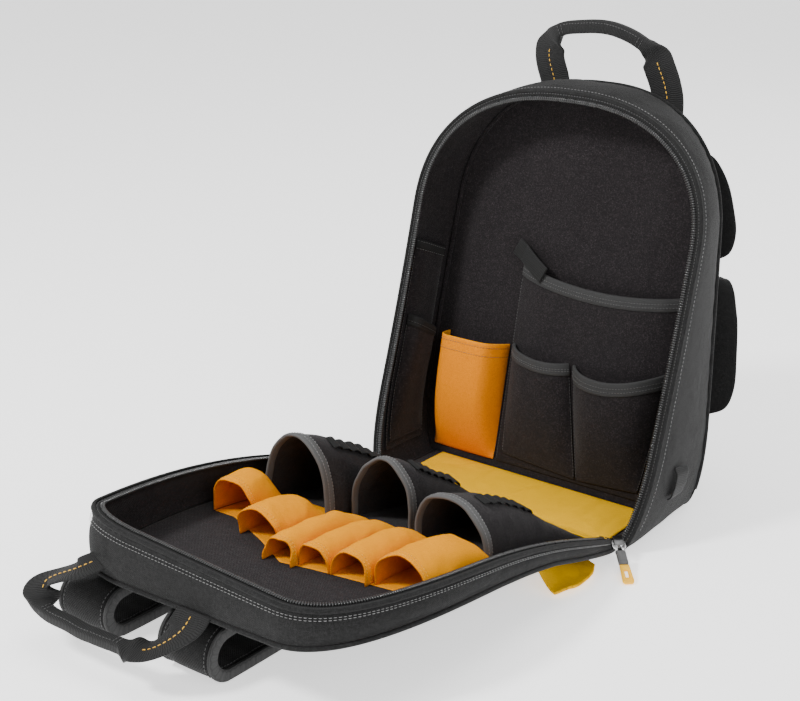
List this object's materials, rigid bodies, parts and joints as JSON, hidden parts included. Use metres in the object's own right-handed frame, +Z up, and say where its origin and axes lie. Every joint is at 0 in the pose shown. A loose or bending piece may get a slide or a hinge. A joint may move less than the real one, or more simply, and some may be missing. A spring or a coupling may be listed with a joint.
{
  "type": "tool backpack",
  "caption": "Empty tool backpack opened out: main half upright with inner pockets, back half laid down as a tray of tool sleeves and pouches, webbing handles, folded shoulder straps.",
  "frame": {"origin": "centre of the upright half's base, on the ground plane", "axes": "+Z up; +Y from the laid half towards the upright half's outer front panel, so the laid half reaches out toward -Y; +X to the side that carries the webbing side loop and the zip slider"},
  "size_m": [0.3921, 0.7594, 0.5127],
  "materials": {
    "outer_cloth": "heathered charcoal polyester weave",
    "lining_cloth": "plain near-black lining weave",
    "yellow_cloth": "bright yellow lining weave",
    "orange_cloth": "orange-yellow weave",
    "binding_tape": "grey ribbed edge binding",
    "webbing": "black ribbed webbing",
    "padded_strap": "black padded weave",
    "zip_coil": "black coil",
    "zip_tape": "black zip tape",
    "buckle_plastic": "black",
    "zip_metal": "brushed",
    "pull_rubber": "grey",
    "pull_tab_plastic": "yellow"
  },
  "bodies": {
    "root": {"main_gusset": "outer_cloth", "base_panel": "outer_cloth", "front_panel": "outer_cloth", "divider_panel": "lining_cloth", "main_zip_tape": "zip_tape", "main_zip_coil": "zip_coil", "floor_lining": "yellow_cloth", "hinge_wing": "yellow_cloth", "tray_gusset": "outer_cloth", "back_panel": "outer_cloth", "tray_zip_tape": "zip_tape", "tray_zip_coil": "zip_coil", "tablet_pocket": "lining_cloth", "phone_pocket": "lining_cloth", "meter_pocket": "lining_cloth", "battery_pocket": "orange_cloth", "wall_pocket_deep": "lining_cloth", "wall_pocket_short": "lining_cloth", "tablet_pocket_binding": "binding_tape", "phone_pocket_binding": "binding_tape", "meter_pocket_binding": "binding_tape", "corner_piping": "lining_cloth", "pocket_tab": "webbing", "tool_sleeve_1": "orange_cloth", "tool_sleeve_2": "orange_cloth", "tool_sleeve_3": "orange_cloth", "tool_sleeve_4": "orange_cloth", "tool_sleeve_5": "orange_cloth", "tool_sleeve_6": "orange_cloth", "tool_pouch_1": "lining_cloth", "tool_pouch_binding_1": "binding_tape", "bit_strip_1": "webbing", "tool_pouch_2": "lining_cloth", "tool_pouch_binding_2": "binding_tape", "bit_strip_2": "webbing", "tool_pouch_3": "lining_cloth", "tool_pouch_binding_3": "binding_tape", "bit_strip_3": "webbing", "upper_flap": "outer_cloth", "lower_flap": "outer_cloth", "upper_pouch": "outer_cloth", "upper_pouch_binding": "binding_tape", "lower_pouch": "outer_cloth", "lower_pouch_binding": "binding_tape", "carry_handle": "webbing", "tray_handle": "webbing", "shoulder_strap_1": "padded_strap", "strap_web_1": "webbing", "strap_buckle_1": "buckle_plastic", "shoulder_strap_2": "padded_strap", "strap_web_2": "webbing", "strap_buckle_2": "buckle_plastic", "side_loop": "webbing", "pull_bail": "zip_metal", "zip_pull": "pull_rubber", "pull_tab": "pull_tab_plastic", "zip_slider": "zip_metal"}
  },
  "joints": []
}
